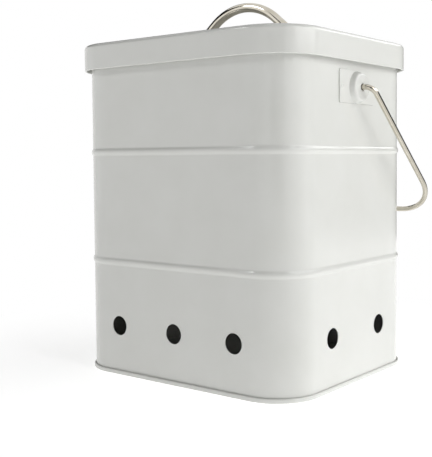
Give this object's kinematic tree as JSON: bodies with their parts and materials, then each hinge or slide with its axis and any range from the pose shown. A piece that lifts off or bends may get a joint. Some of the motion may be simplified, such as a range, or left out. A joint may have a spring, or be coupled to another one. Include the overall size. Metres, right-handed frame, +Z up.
{
  "type": "onion storage bin",
  "caption": "Rounded rectangular sheet-steel storage bin with ribbed, vented walls, a lift-off lid with an arched handle, and a swinging wire bail.",
  "frame": {"origin": "centre of the bin's footprint, on the surface that it stands on", "axes": "+Z up, -Y towards the front, +X to the right as seen from the front; the bail hangs behind, at +Y"},
  "size_m": [0.2212, 0.1634, 0.2555],
  "materials": {
    "powder_coat": "semi-gloss off-white powder coat",
    "polished_steel": "polished",
    "zinc_steel": "bright zinc plate"
  },
  "bodies": {
    "bin": {"body_shell": "powder_coat", "base_pan": "powder_coat", "ear_left": "powder_coat", "ear_right": "powder_coat"},
    "lid": {"lid_shell": "powder_coat", "lid_handle": "polished_steel", "handle_screws": "zinc_steel", "handle_washers": "zinc_steel"},
    "bail": {"bail": "polished_steel"}
  },
  "joints": [
    {"name": "lid_lift", "type": "slide", "parent": "bin", "child": "lid", "axis": [0, 0, 1], "range_m": [0, 0.04]},
    {"name": "bail_swing", "type": "hinge", "parent": "bin", "child": "bail", "pos_m": [0, 0, 0.1915], "axis": [1, 0, 0], "range_deg": [0, 272.5]}
  ]
}
